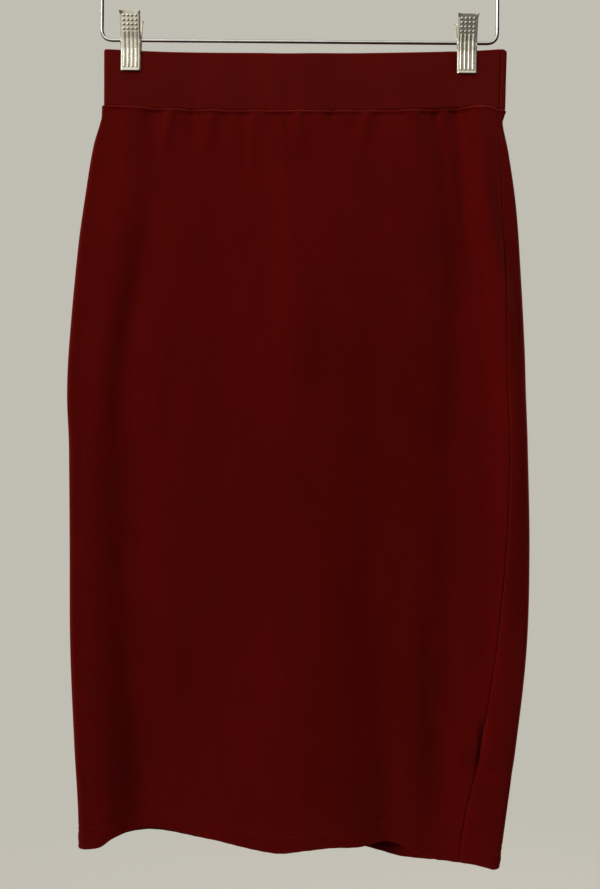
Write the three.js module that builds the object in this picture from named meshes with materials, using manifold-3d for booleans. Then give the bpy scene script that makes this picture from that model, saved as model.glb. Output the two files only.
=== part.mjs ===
import * as THREE from 'three';
import { mergeVertices } from 'three/addons/utils/BufferGeometryUtils.js';
import Module from 'manifold-3d';

// A pull-on jersey pencil skirt that hangs from the two clips of a wire hanger.
// Millimetres, +Z up, +X to the right as seen from the front, +Y to the back.
// The origin is the inside top of the hook, where a rail carries the hanger.

const wasm = await Module();
wasm.setup();

// Clearances
const seamGap = 0.3; // between pieces that are sewn together
const seatGap = 0.3; // between hard pieces that touch

// Cloth
const jersey = 1.3; // thickness of the panels
const hemTurn = 18; // depth of the turned hem
const bandThickness = 2.9; // elastic with the jersey folded over it
const bandCentre = 3.6; // middle of the waistband to the right of the hook
const bandHalfWidth = 182.6;
const bandFold = 1.9; // radius of the band's side folds, at the middle of its thickness
const bandTaper = 0.8; // the right edge leans in by twice this towards the seam
const bandSeam = 5.4; // band's side seam, in from its edge
const bandTop = -209.4; // height of the band's upper edge at the sides
const waistHeight = -259.8; // height of the waist seam at the sides
const topSag = 5; // how much lower the upper edge is in the middle
const waistSag = 6.3; // how much lower the waist seam is in the middle
const cornerDrop = 1.8; // how much the band's soft right corner drops
const cornerWidth = 5;
const nominalLength = 670; // waist seam to hem, where a row's sizes are first read

// Hanger
const wireRadius = 1.6;
const hookInside = 19; // inner radius of the hook
// The bend from the stem into the hook, in shares of the hook's radius from the top of the stem.
const hookBend = [
  { aside: 0, up: 0 },
  { aside: 0.06, up: 0.35 },
  { aside: 0.32, up: 0.85 },
  { aside: 0.62, up: 1.3 },
];
const barDrop = 202.2; // from the rail down to the bar
const frameHalfWidth = 179.2;
const frameTilt = THREE.MathUtils.degToRad(0.5); // the bar hangs lower on the right
const cornerRadius = 8;
const shoulderRadius = 20;
const sideTop = 40; // straight part of each side, above the bar
const neckHeight = -86; // where the shoulders meet
const clipPlaces = { left: -152.5, right: 151.3 }; // along the bar

// Clips
const leafWidth = 18;
const leafSheet = 0.8;
const leafUp = 22.3; // above the bar
const leafDown = 28.6; // below the bar
const leafSplay = 11; // how far out the handle end stands
const leafAtBar = 5; // leaf's distance from the bar's axis
const jawStart = 9; // below the bar, where the leaf lies flat on the cloth
const earTop = 8; // above the bar
const earFoot = 7; // below the bar
const earRim = 1.6; // metal round the bar's hole
const ribPitch = 3.66; // ribs are pressed out of the leaf to stiffen it
const ribCount = 4;
const ribHeight = 0.4;
const ribFoot = 1; // half width at the face
const ribCrown = 0.35; // half width at the top
const ribTop = 4.8; // above the bar
const ribEnd = -26;
const springWire = 0.55; // radius
const springTurns = 2.5;
const springHalfWidth = 2.2;
const springLegHeight = 15;
const springSteps = 8; // to a turn

// Sections of the skirt, by the distance down from the waist seam. left and right are the edges from the
// hook's middle, seam is the side seam's distance from the edge, fold is the radius of the folded edge,
// open is how far each layer swells from the middle plane, and swell is the half width of that swelling.
const sections = [
  { down: 0, left: 179.4, right: 184.4, seam: 6.5, fold: 2.3, open: 3.0, swell: 140 },
  { down: 5, left: 181.0, right: 184.2, seam: 6.2, fold: 2.7, open: 3.2, swell: 142 },
  { down: 12, left: 181.4, right: 182.3, seam: 4.4, fold: 3.0, open: 3.8, swell: 146 },
  { down: 38, left: 188.8, right: 187.2, seam: 7.6, fold: 3.8, open: 5.3, swell: 160 },
  { down: 83, left: 196.2, right: 193.6, seam: 12.8, fold: 4.6, open: 7.4, swell: 180 },
  { down: 128, left: 202.4, right: 197.2, seam: 15.4, fold: 5.2, open: 8.8, swell: 190 },
  { down: 218, left: 210.6, right: 201.4, seam: 17.9, fold: 5.8, open: 10.4, swell: 200 },
  { down: 263, left: 212.4, right: 202.2, seam: 17.6, fold: 6.0, open: 10.8, swell: 202 },
  { down: 308, left: 210.6, right: 203.8, seam: 17.9, fold: 6.0, open: 11.0, swell: 202 },
  { down: 398, left: 209.8, right: 205.4, seam: 22.9, fold: 6.0, open: 11.2, swell: 202 },
  { down: 488, left: 209.2, right: 202.6, seam: 28.9, fold: 6.0, open: 11.2, swell: 200 },
  { down: 578, left: 205.4, right: 192.4, seam: 32.7, fold: 6.0, open: 11.0, swell: 196 },
  { down: 636, left: 202.0, right: 184.2, seam: 37.6, fold: 6.0, open: 10.8, swell: 192 },
  { down: 688, left: 201.0, right: 176.6, seam: 36.7, fold: 6.0, open: 10.6, swell: 186 },
];

// Long soft folds: where each one is at the waist, half way down and at the hem, its width, and how far it
// pushes its layer back at those heights.
const folds = [
  { layer: 'front', waist: -140, middle: -148, hem: -138, width: 36, atWaist: 0.3, atMiddle: 4, atHem: 13 },
  { layer: 'back', waist: -150, middle: -160, hem: -136, width: 40, atWaist: 0.2, atMiddle: 1.5, atHem: 10 },
  { layer: 'front', waist: -148, middle: -185, hem: -171, width: 17, atWaist: -1.5, atMiddle: -3.6, atHem: -3 },
  { layer: 'front', waist: 0, middle: 10, hem: -8, width: 46, atWaist: -0.8, atMiddle: -3.2, atHem: -1.4 },
  { layer: 'front', waist: 134, middle: 136, hem: 116, width: 22, atWaist: 0.6, atMiddle: 3.6, atHem: 7 },
  { layer: 'front', waist: 90, middle: 80, hem: 78, width: 24, atWaist: 0, atMiddle: 0, atHem: 12 },
  { layer: 'front', waist: 158, middle: 184, hem: 170, width: 14, atWaist: -2, atMiddle: -3.6, atHem: -1.5 },
  { layer: 'back', waist: -70, middle: -84, hem: -60, width: 30, atWaist: 0, atMiddle: -2.5, atHem: -6 },
  { layer: 'back', waist: 40, middle: 30, hem: 24, width: 36, atWaist: 0, atMiddle: 2, atHem: 5 },
  { layer: 'back', waist: 118, middle: 124, hem: 112, width: 26, atWaist: -0.2, atMiddle: -3, atHem: -5 },
  { layer: 'back', waist: 152, middle: 182, hem: 168, width: 16, atWaist: 1.2, atMiddle: 2.6, atHem: 1.2 },
  { layer: 'both', waist: -181, middle: -206, hem: -201, width: 40, atWaist: 0, atMiddle: -1, atHem: -4 },
  { layer: 'both', waist: 182, middle: 204, hem: 180, width: 46, atWaist: 0, atMiddle: -3, atHem: -13 },
];

// Gathers that the waist seam holds, each a short furrow below it.
const gathers = [
  { layer: 'front', x: -129, width: 5.5, depth: 1.2 },
  { layer: 'front', x: -96, width: 6, depth: 1.3 },
  { layer: 'front', x: -58, width: 6.5, depth: 1.2 },
  { layer: 'front', x: -31, width: 5, depth: 1.0 },
  { layer: 'front', x: -6, width: 6, depth: 1.1 },
  { layer: 'front', x: 41, width: 6.5, depth: 1.0 },
  { layer: 'front', x: 99, width: 6, depth: 1.1 },
  { layer: 'front', x: 120, width: 6, depth: 1.8 },
  { layer: 'front', x: 141, width: 6, depth: 1.2 },
  { layer: 'front', x: 168, width: 5.5, depth: 0.9 },
  { layer: 'back', x: -140, width: 6, depth: -0.9 },
  { layer: 'back', x: -101, width: 6.5, depth: -1.2 },
  { layer: 'back', x: -74, width: 5.5, depth: -0.8 },
  { layer: 'back', x: -30, width: 6, depth: -1.0 },
  { layer: 'back', x: 12, width: 6.5, depth: -1.1 },
  { layer: 'back', x: 46, width: 5.5, depth: -0.8 },
  { layer: 'back', x: 88, width: 6, depth: -1.3 },
  { layer: 'back', x: 126, width: 6, depth: -0.9 },
];
const gatherFade = 18; // how quickly a gather dies away below the seam

// Length of each layer from the waist seam to the hem, across the skirt.
const hemLine = [
  { x: -202, front: 671, back: 671 },
  { x: -192, front: 671, back: 671 },
  { x: -181, front: 669.5, back: 670 },
  { x: -170, front: 662, back: 665.5 },
  { x: -157, front: 657.2, back: 662.5 },
  { x: -138, front: 653.8, back: 661 },
  { x: -92, front: 657.8, back: 665 },
  { x: -24, front: 666.8, back: 670 },
  { x: 3, front: 663.6, back: 669 },
  { x: 27, front: 661.2, back: 668 },
  { x: 54, front: 662.2, back: 667.5 },
  { x: 74, front: 660.8, back: 670.5 },
  { x: 88, front: 664, back: 674 },
  { x: 103, front: 671.2, back: 675.5 },
  { x: 121, front: 678, back: 678.5 },
  { x: 134, front: 678.8, back: 680 },
  { x: 157, front: 681.4, back: 683 },
  { x: 180, front: 688, back: 688 },
];

// How finely the cloth is divided
const panelRows = [
  0, 0.006, 0.02, 0.05, 0.09, 0.14, 0.2, 0.27, 0.34, 0.42, 0.5, 0.58, 0.66, 0.74, 0.82, 0.9,
];
const flapColumns = 3;
const foldColumns = 6;
const faceColumns = 36;
const bandColumns = 22;

// Materials
const jerseyRed = { color: 0x4a0d0a, roughness: 0.92, metalness: 0 };
const bandRed = { color: 0x4d100c, roughness: 0.9, metalness: 0 };
const chrome = { color: 0xc9ccce, roughness: 0.16, metalness: 1 };
const nickel = { color: 0xc4beb2, roughness: 0.3, metalness: 1 };
const springSteel = { color: 0x9b9a97, roughness: 0.4, metalness: 1 };

// A value of a table's column at a place between its rows, on a smooth curve through them.
function readTable(rows, key, column, place) {
  const last = rows.length - 1;
  let i = 0;
  while (i < last - 1 && place > rows[i + 1][key]) i += 1;
  const before = rows[Math.max(i - 1, 0)];
  const from = rows[i];
  const to = rows[i + 1];
  const after = rows[Math.min(i + 2, last)];
  const step = to[key] - from[key];
  const t = THREE.MathUtils.clamp((place - from[key]) / step, 0, 1);
  const leave = ((to[column] - before[column]) / (to[key] - before[key])) * step;
  const arrive = ((after[column] - from[column]) / (after[key] - from[key])) * step;
  const rise = to[column] - from[column];
  const bend = 3 * rise - 2 * leave - arrive;
  const twist = leave + arrive - 2 * rise;
  return from[column] + t * leave + t * t * bend + t ** 3 * twist;
}

// A bell shape, 1 at its middle.
function bell(distance, width) {
  return Math.exp(-((distance / width) ** 2));
}

// A curve through three values, at the waist, the middle and the hem.
function threeWay(waist, middle, hem, fall) {
  return waist * (1 - fall) * (1 - 2 * fall) + 4 * middle * fall * (1 - fall) + hem * fall * (2 * fall - 1);
}

// How far the folds and gathers push a layer back at a place.
function clothPush(layer, x, down) {
  const fall = down / nominalLength;
  let push = 0;
  for (const row of folds) {
    if (row.layer !== layer && row.layer !== 'both') continue;
    const centre = threeWay(row.waist, row.middle, row.hem, fall);
    push += bell(x - centre, row.width) * threeWay(row.atWaist, row.atMiddle, row.atHem, fall);
  }
  const held = (0.45 + down / gatherFade) * Math.exp(-down / gatherFade);
  for (const row of gathers) {
    if (row.layer === layer) push += bell(x - row.x, row.width) * row.depth * held;
  }
  return push;
}

// The skirt's section at a distance down from the waist seam.
function skirtSection(down) {
  const value = (column) => readTable(sections, 'down', column, down);
  const halfWidth = (value('left') + value('right')) / 2 - jersey / 2;
  const fold = value('fold');
  return {
    middle: (value('right') - value('left')) / 2,
    reach: halfWidth - fold,
    fold,
    open: value('open'),
    swell: value('swell'),
    seamReach: halfWidth + jersey / 2 - value('seam'),
  };
}

// How far a layer swells from the middle plane at a place across the section.
function swelling(section, x) {
  const share = Math.min(1, Math.abs(x - section.middle) / section.swell);
  return section.open * (1 - share * share) ** 1.5;
}

// A point of the skirt's loop. across runs from -1 at the left fold to 1 at the right one. turn is 0 on the
// front, pi on the back, and passes through the right fold (or the left one, below zero) between them.
function skirtPoint(place, fall) {
  const first = skirtSection(fall * nominalLength);
  const across = place.across(first);
  const frontShare = (1 + Math.cos(place.turn)) / 2;
  const guess = first.middle + across * first.reach;
  const length = frontShare * readTable(hemLine, 'x', 'front', guess)
    + (1 - frontShare) * readTable(hemLine, 'x', 'back', guess);
  const down = fall * length;
  const section = skirtSection(down);
  const spine = section.middle + across * section.reach;
  const x = spine + section.fold * Math.sin(place.turn);
  const swell = -Math.cos(place.turn) * (section.fold + swelling(section, spine));
  const push = frontShare * clothPush('front', spine, down)
    + (1 - frontShare) * clothPush('back', spine, down);
  return new THREE.Vector3(x, swell + push, waistLine(x) - seamGap - down);
}

// Height of the waist seam and of the band's upper edge across the front.
function waistLine(x) {
  return waistHeight - waistSag * Math.max(0, 1 - ((x - bandCentre) / bandHalfWidth) ** 2);
}

function bandTopLine(x) {
  const right = bandCentre + bandHalfWidth;
  const corner = cornerDrop * THREE.MathUtils.smoothstep(x, right - cornerWidth, right);
  return bandTop - topSag * Math.max(0, 1 - ((x - bandCentre) / bandHalfWidth) ** 2) - corner;
}

// Places round the loop for one panel: a flap past the fold, the fold, then the face as far as the other
// seam. side is 1 for the front panel, which folds round the left edge, and -1 for the back one, which
// folds round the right edge.
function panelPlaces(side, faceCount) {
  const places = [];
  const faceTurn = side > 0 ? 0 : Math.PI;
  const flapTurn = side > 0 ? -Math.PI : 0;
  const seamShare = (section) => (section.seamReach - seamGap / 2) / section.reach;
  const flapShare = (section) => (section.seamReach + seamGap / 2) / section.reach;
  for (let i = 0; i < flapColumns; i += 1) {
    const part = i / flapColumns;
    places.push({ turn: flapTurn, across: (s) => -side * THREE.MathUtils.lerp(flapShare(s), 1, part) });
  }
  for (let i = 0; i < foldColumns; i += 1) {
    places.push({ turn: flapTurn + (Math.PI * i) / foldColumns, across: () => -side });
  }
  for (let i = 0; i <= faceCount; i += 1) {
    const part = i / faceCount;
    places.push({ turn: faceTurn, across: (s) => side * THREE.MathUtils.lerp(-1, seamShare(s), part) });
  }
  return places;
}

// A wall of cloth between two skins: a grid of middle points moved out and in along the grid's own normals.
function clothWall(columns, rows, middlePoint, outward, inward) {
  const grid = columns.map((column) => rows.map((row) => middlePoint(column, row)));
  const width = columns.length;
  const height = rows.length;
  const outer = [];
  const inner = [];
  for (let i = 0; i < width; i += 1) {
    for (let j = 0; j < height; j += 1) {
      const along = grid[Math.min(i + 1, width - 1)][j].clone().sub(grid[Math.max(i - 1, 0)][j]);
      const below = grid[i][Math.min(j + 1, height - 1)].clone().sub(grid[i][Math.max(j - 1, 0)]);
      const normal = below.cross(along).normalize();
      outer.push(...grid[i][j].clone().addScaledVector(normal, outward(j)).toArray());
      inner.push(...grid[i][j].clone().addScaledVector(normal, -inward(j)).toArray());
    }
  }
  return gridSolid(outer, inner, width, height);
}

// A closed solid from an outer and an inner grid with the same rows and columns.
function gridSolid(outer, inner, width, height) {
  const skin = width * height;
  const faces = [];
  const quad = (a, b, c, d) => faces.push(a, b, c, a, c, d);
  const at = (i, j) => i * height + j;
  for (let i = 0; i < width - 1; i += 1) {
    for (let j = 0; j < height - 1; j += 1) {
      quad(at(i, j), at(i, j + 1), at(i + 1, j + 1), at(i + 1, j));
      quad(skin + at(i, j), skin + at(i + 1, j), skin + at(i + 1, j + 1), skin + at(i, j + 1));
    }
    const end = height - 1;
    quad(at(i, 0), at(i + 1, 0), skin + at(i + 1, 0), skin + at(i, 0));
    quad(at(i, end), skin + at(i, end), skin + at(i + 1, end), at(i + 1, end));
  }
  for (let j = 0; j < height - 1; j += 1) {
    const end = width - 1;
    quad(at(0, j), skin + at(0, j), skin + at(0, j + 1), at(0, j + 1));
    quad(at(end, j), at(end, j + 1), skin + at(end, j + 1), skin + at(end, j));
  }
  const geometry = new THREE.BufferGeometry();
  geometry.setAttribute('position', new THREE.Float32BufferAttribute([...outer, ...inner], 3));
  geometry.setIndex(faces);
  geometry.computeVertexNormals();
  return geometry;
}

// A panel of the skirt, doubled inside where the hem is turned up, with a rounded lower edge.
function skirtPanel(side) {
  const turned = 1 - hemTurn / nominalLength;
  const edge = 0.002; // a step in the wall, and the roll of the lower edge
  const rows = [...panelRows, turned - edge, turned, 1 - edge, 1];
  const doubled = rows.length - 3;
  const last = rows.length - 1;
  const outward = (j) => (j === last ? jersey * 0.1 : jersey / 2);
  const inward = (j) => {
    if (j === last) return jersey * 0.9;
    return j >= doubled ? jersey * 1.4 : jersey / 2;
  };
  return clothWall(panelPlaces(side, faceColumns), rows, skirtPoint, outward, inward);
}

// A point of the waistband's loop, by its place and its share of the way down the band.
function bandPoint(place, fall) {
  const section = {
    middle: bandCentre - bandTaper * fall,
    reach: bandHalfWidth - bandTaper * fall - bandThickness / 2 - bandFold,
    open: sections[0].open,
    swell: sections[0].swell,
    seamReach: bandHalfWidth - bandTaper * fall - bandSeam,
  };
  const spine = section.middle + place.across(section) * section.reach;
  const x = spine + bandFold * Math.sin(place.turn);
  const y = -Math.cos(place.turn) * (bandFold + swelling(section, spine));
  return new THREE.Vector3(x, y, THREE.MathUtils.lerp(bandTopLine(x), waistLine(x), fall));
}

// One half of the waistband, rounded where the strip folds over the elastic and where it is sewn on.
function waistbandHalf(side) {
  const rows = [0, 0.012, 0.03, 0.5, 0.97, 0.99, 1];
  const thickness = [0.3, 0.8, 1, 1, 1, 0.85, 0.5]; // share of the full thickness at each row
  const half = (j) => (thickness[j] * bandThickness) / 2;
  return clothWall(panelPlaces(side, bandColumns), rows, bandPoint, half, half);
}

// A wire with flat ends along a list of points.
function wire(points, radius, sides) {
  const positions = [];
  const faces = [];
  const heading = points[1].clone().sub(points[0]).normalize();
  const arm = new THREE.Vector3(0, 1, 0);
  if (Math.abs(heading.y) > 0.9) arm.set(1, 0, 0);
  arm.addScaledVector(heading, -arm.dot(heading)).normalize();
  points.forEach((point, i) => {
    const back = points[Math.max(i - 1, 0)];
    const ahead = points[Math.min(i + 1, points.length - 1)];
    const next = ahead.clone().sub(back).normalize();
    arm.applyQuaternion(new THREE.Quaternion().setFromUnitVectors(heading, next)).normalize();
    heading.copy(next);
    const other = heading.clone().cross(arm);
    for (let k = 0; k < sides; k += 1) {
      const angle = (2 * Math.PI * k) / sides;
      const rim = point.clone().addScaledVector(arm, radius * Math.cos(angle));
      positions.push(...rim.addScaledVector(other, radius * Math.sin(angle)).toArray());
    }
  });
  const last = points.length - 1;
  for (let i = 0; i < last; i += 1) {
    for (let k = 0; k < sides; k += 1) {
      const a = i * sides + k;
      const b = i * sides + ((k + 1) % sides);
      faces.push(a, b, b + sides, a, b + sides, a + sides);
    }
  }
  for (let k = 1; k < sides - 1; k += 1) {
    faces.push(0, k + 1, k);
    faces.push(last * sides, last * sides + k, last * sides + k + 1);
  }
  const geometry = new THREE.BufferGeometry();
  geometry.setAttribute('position', new THREE.Float32BufferAttribute(positions, 3));
  geometry.setIndex(faces);
  geometry.computeVertexNormals();
  return geometry;
}

// Points on an arc in the plane of the hanger. Angles are in degrees from +X towards +Z.
function arc(x, z, radius, from, to, steps) {
  const points = [];
  for (let i = 0; i <= steps; i += 1) {
    const angle = THREE.MathUtils.degToRad(THREE.MathUtils.lerp(from, to, i / steps));
    points.push(new THREE.Vector3(x + radius * Math.cos(angle), 0, z + radius * Math.sin(angle)));
  }
  return points;
}

// The hanger's wire from the foot of the stem down the right shoulder, along the bar, up the left side and
// shoulder, and in three turns round the stem.
function hangerFrame() {
  const barHeight = -barDrop;
  const bendHeight = barHeight + sideTop;
  const inset = frameHalfWidth - shoulderRadius;
  const rise = neckHeight - bendHeight - shoulderRadius;
  const slope = THREE.MathUtils.radToDeg(Math.atan2(rise, inset));
  const wrapRadius = 2 * wireRadius + seatGap;
  const wrapPitch = 2 * wireRadius + seatGap;
  const wrapTurns = 3;
  const wrapSteps = 10;
  const points = [new THREE.Vector3(0, 0, neckHeight)];
  points.push(...arc(inset, bendHeight, shoulderRadius, 90 - slope, 0, 5));
  points.push(...arc(frameHalfWidth - cornerRadius, barHeight + cornerRadius, cornerRadius, 0, -90, 4));
  points.push(...arc(-frameHalfWidth + cornerRadius, barHeight + cornerRadius, cornerRadius, -90, -180, 4));
  points.push(...arc(-inset, bendHeight, shoulderRadius, 180, 90 + slope, 5));
  const wrapStart = neckHeight + wrapPitch;
  for (let i = 0; i <= wrapTurns * wrapSteps; i += 1) {
    const angle = Math.PI + (2 * Math.PI * i) / wrapSteps;
    const height = wrapStart + (wrapPitch * i) / wrapSteps;
    points.push(new THREE.Vector3(wrapRadius * Math.cos(angle), wrapRadius * Math.sin(angle), height));
  }
  return wire(points, wireRadius, 8);
}

// The stem and the hook. The rail lies in the top of the arc.
function hangerHook() {
  const radius = hookInside + wireRadius;
  const stemTop = -hookInside - 2.4 * radius;
  const arcStart = -36;
  const arcEnd = 200;
  const arcSteps = 15;
  const points = [new THREE.Vector3(0, 0, neckHeight + 2 * wireRadius)];
  for (const { aside, up } of hookBend) {
    points.push(new THREE.Vector3(aside * radius, 0, stemTop + up * radius));
  }
  points.push(...arc(0, -hookInside, radius, arcStart, arcEnd, arcSteps));
  return wire(points, wireRadius, 8);
}

// Merges a geometry's shared corners and hands it to the solid library.
function toSolid(geometry) {
  const plain = geometry.clone();
  plain.deleteAttribute('normal');
  plain.deleteAttribute('uv');
  const merged = mergeVertices(plain, 1e-4);
  return new wasm.Manifold(new wasm.Mesh({
    numProp: 3,
    vertProperties: new Float32Array(merged.attributes.position.array),
    triVerts: new Uint32Array(merged.index.array),
  }));
}

function fromSolid(solid) {
  const mesh = solid.getMesh();
  const geometry = new THREE.BufferGeometry();
  geometry.setAttribute('position', new THREE.Float32BufferAttribute(mesh.vertProperties, 3));
  geometry.setIndex([...mesh.triVerts]);
  geometry.computeVertexNormals();
  return geometry;
}

// A clip leaf's distance in front of the bar at a height above it: splayed above, closed on the cloth below.
function leafDistance(height) {
  const jaw = bandFold + bandThickness / 2 + seatGap + leafSheet / 2;
  if (height > 0) return THREE.MathUtils.lerp(leafAtBar, leafSplay, height / leafUp);
  const closing = Math.min(1, -height / jawStart);
  return THREE.MathUtils.lerp(leafAtBar, jaw, closing);
}

// The leaf's sheet, with long ribs pressed out of the part below the handle.
function leafSheetGeometry() {
  const heights = [leafUp, ribTop + 1, ribTop, 0, -jawStart, ribEnd, ribEnd - 1, -leafDown];
  const columns = [];
  const half = leafWidth / 2;
  const firstRib = (-(ribCount - 1) / 2) * ribPitch;
  columns.push({ x: -half, rib: 0 });
  for (let i = 0; i < ribCount; i += 1) {
    const centre = firstRib + i * ribPitch;
    columns.push({ x: centre - ribFoot, rib: 0 }, { x: centre - ribCrown, rib: 1 });
    columns.push({ x: centre + ribCrown, rib: 1 }, { x: centre + ribFoot, rib: 0 });
  }
  columns.push({ x: half, rib: 0 });
  const outer = [];
  const inner = [];
  columns.forEach(({ x, rib }) => {
    heights.forEach((height) => {
      const raised = height <= ribTop && height >= ribEnd ? rib * ribHeight : 0;
      const distance = leafDistance(height);
      outer.push(x, -distance - leafSheet / 2 - raised, height);
      inner.push(x, -distance + leafSheet / 2, height);
    });
  });
  return gridSolid(outer, inner, columns.length, heights.length);
}

// An ear that turns in from the leaf's edge and goes round the bar.
function leafEar(x) {
  const bore = wireRadius + seatGap;
  const shape = new THREE.Shape();
  shape.moveTo(leafDistance(earTop), earTop);
  shape.lineTo(0, bore + earRim);
  shape.absarc(0, 0, bore + earRim, Math.PI / 2, 1.5 * Math.PI, false);
  shape.lineTo(leafDistance(-earFoot), -earFoot);
  shape.lineTo(leafDistance(0), 0);
  const hole = new THREE.Path();
  hole.absarc(0, 0, bore, 0, 2 * Math.PI, true);
  shape.holes.push(hole);
  const ear = new THREE.ExtrudeGeometry(shape, { depth: leafSheet, bevelEnabled: false, curveSegments: 4 });
  // The shape's x is the distance in front of the bar and its y is the height.
  const turn = new THREE.Matrix4().makeBasis(
    new THREE.Vector3(0, -1, 0),
    new THREE.Vector3(0, 0, 1),
    new THREE.Vector3(-1, 0, 0),
  );
  ear.applyMatrix4(turn);
  ear.translate(x + leafSheet / 2, 0, 0);
  return ear;
}

function clipLeaf(earInset) {
  const earPlace = leafWidth / 2 - leafSheet / 2 - earInset;
  let body = toSolid(leafSheetGeometry());
  body = body.add(toSolid(leafEar(-earPlace)));
  body = body.add(toSolid(leafEar(earPlace)));
  return fromSolid(body);
}

// The spring's coil goes round the bar and its legs push the handles apart.
function clipSpring() {
  const radius = wireRadius + seatGap + springWire;
  const legReach = leafDistance(springLegHeight) - leafSheet / 2 - springWire - 2 * seatGap;
  const steps = Math.round(springTurns * springSteps);
  const points = [new THREE.Vector3(-springHalfWidth, -legReach, springLegHeight)];
  for (let i = 0; i <= steps; i += 1) {
    const angle = Math.PI + (2 * Math.PI * springTurns * i) / steps;
    const x = THREE.MathUtils.lerp(-springHalfWidth, springHalfWidth, i / steps);
    points.push(new THREE.Vector3(x, radius * Math.cos(angle), radius * Math.sin(angle)));
  }
  points.push(new THREE.Vector3(springHalfWidth, legReach, springLegHeight));
  return wire(points, springWire, 6);
}

function piece(name, geometry, finish) {
  const mesh = new THREE.Mesh(geometry, new THREE.MeshStandardMaterial(finish));
  mesh.name = name;
  return mesh;
}

function clip(name, place) {
  const group = new THREE.Group();
  group.add(piece(`clip_${name}_front_leaf`, clipLeaf(0), nickel));
  const rear = piece(`clip_${name}_rear_leaf`, clipLeaf(leafSheet + seatGap), nickel);
  rear.rotation.z = Math.PI;
  group.add(rear);
  group.add(piece(`clip_${name}_spring`, clipSpring(), springSteel));
  group.position.set(place, 0, -barDrop);
  return group;
}

const hanger = new THREE.Group();
hanger.add(piece('hanger_frame', hangerFrame(), chrome));
hanger.add(piece('hanger_hook', hangerHook(), chrome));
for (const [name, place] of Object.entries(clipPlaces)) hanger.add(clip(name, place));
hanger.rotation.y = frameTilt;

const model = new THREE.Group();
model.add(hanger);
model.add(piece('waistband_front', waistbandHalf(1), bandRed));
model.add(piece('waistband_back', waistbandHalf(-1), bandRed));
model.add(piece('front_panel', skirtPanel(1), jerseyRed));
model.add(piece('back_panel', skirtPanel(-1), jerseyRed));

export default model;
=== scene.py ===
import math
import bpy
import numpy as np
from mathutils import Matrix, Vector


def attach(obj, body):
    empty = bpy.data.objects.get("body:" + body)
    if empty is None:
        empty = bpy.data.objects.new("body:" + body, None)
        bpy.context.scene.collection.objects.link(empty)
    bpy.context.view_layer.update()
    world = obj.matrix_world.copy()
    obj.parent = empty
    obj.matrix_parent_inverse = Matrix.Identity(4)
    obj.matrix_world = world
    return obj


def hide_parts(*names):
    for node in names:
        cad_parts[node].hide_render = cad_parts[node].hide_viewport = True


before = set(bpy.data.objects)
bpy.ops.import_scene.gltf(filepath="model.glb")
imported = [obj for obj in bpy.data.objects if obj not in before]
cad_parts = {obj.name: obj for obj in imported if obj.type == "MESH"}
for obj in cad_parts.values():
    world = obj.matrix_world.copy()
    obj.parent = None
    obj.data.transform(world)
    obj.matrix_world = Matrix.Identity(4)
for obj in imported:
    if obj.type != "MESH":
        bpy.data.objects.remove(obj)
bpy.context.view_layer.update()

# A jersey pencil skirt clipped to a wire hanger. Metres, +Z up, seen from -Y. The origin is inside the hook's top.
# Tables of the cloth are in millimetres, and mm turns them into metres.
mm = 0.001


# Camera
camera = {"place": (-0.0014, -0.905, -0.5673), "pixelsUp": 889, "focalPixels": 998, "sensor": 24}

eye = bpy.data.objects.new("photoCamera", bpy.data.cameras.new("photoCamera"))
bpy.context.scene.collection.objects.link(eye)
bpy.context.scene.camera = eye
eye.location = camera["place"]
eye.rotation_euler = (math.pi / 2, 0, 0)
eye.data.sensor_fit = "VERTICAL"
eye.data.sensor_height = camera["sensor"]
eye.data.lens = camera["sensor"] * camera["focalPixels"] / camera["pixelsUp"]
print("camera ready")


# Shader sums

class Signal:
    # a socket that can stand in a Python expression: each operator adds one Math node
    def __init__(self, tree, socket):
        self.tree = tree
        self.socket = socket

    def sum(self, operation, *others):
        node = self.tree.nodes.new("ShaderNodeMath")
        node.operation = operation
        for slot, item in zip(node.inputs, others):
            if isinstance(item, Signal):
                self.tree.links.new(item.socket, slot)
            else:
                slot.default_value = item
        return Signal(self.tree, node.outputs[0])

    def __add__(self, other):
        return self.sum("ADD", self, other)

    def __radd__(self, other):
        return self.sum("ADD", other, self)

    def __sub__(self, other):
        return self.sum("SUBTRACT", self, other)

    def __rsub__(self, other):
        return self.sum("SUBTRACT", other, self)

    def __mul__(self, other):
        return self.sum("MULTIPLY", self, other)

    def __rmul__(self, other):
        return self.sum("MULTIPLY", other, self)

    def __truediv__(self, other):
        return self.sum("DIVIDE", self, other)

    def __pow__(self, other):
        return self.sum("POWER", self, other)

    def __abs__(self):
        return self.sum("ABSOLUTE", self)

    def part(self):
        return self.sum("FRACT", self)

    def wave(self):
        return self.sum("COSINE", self * (2 * math.pi))


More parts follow.
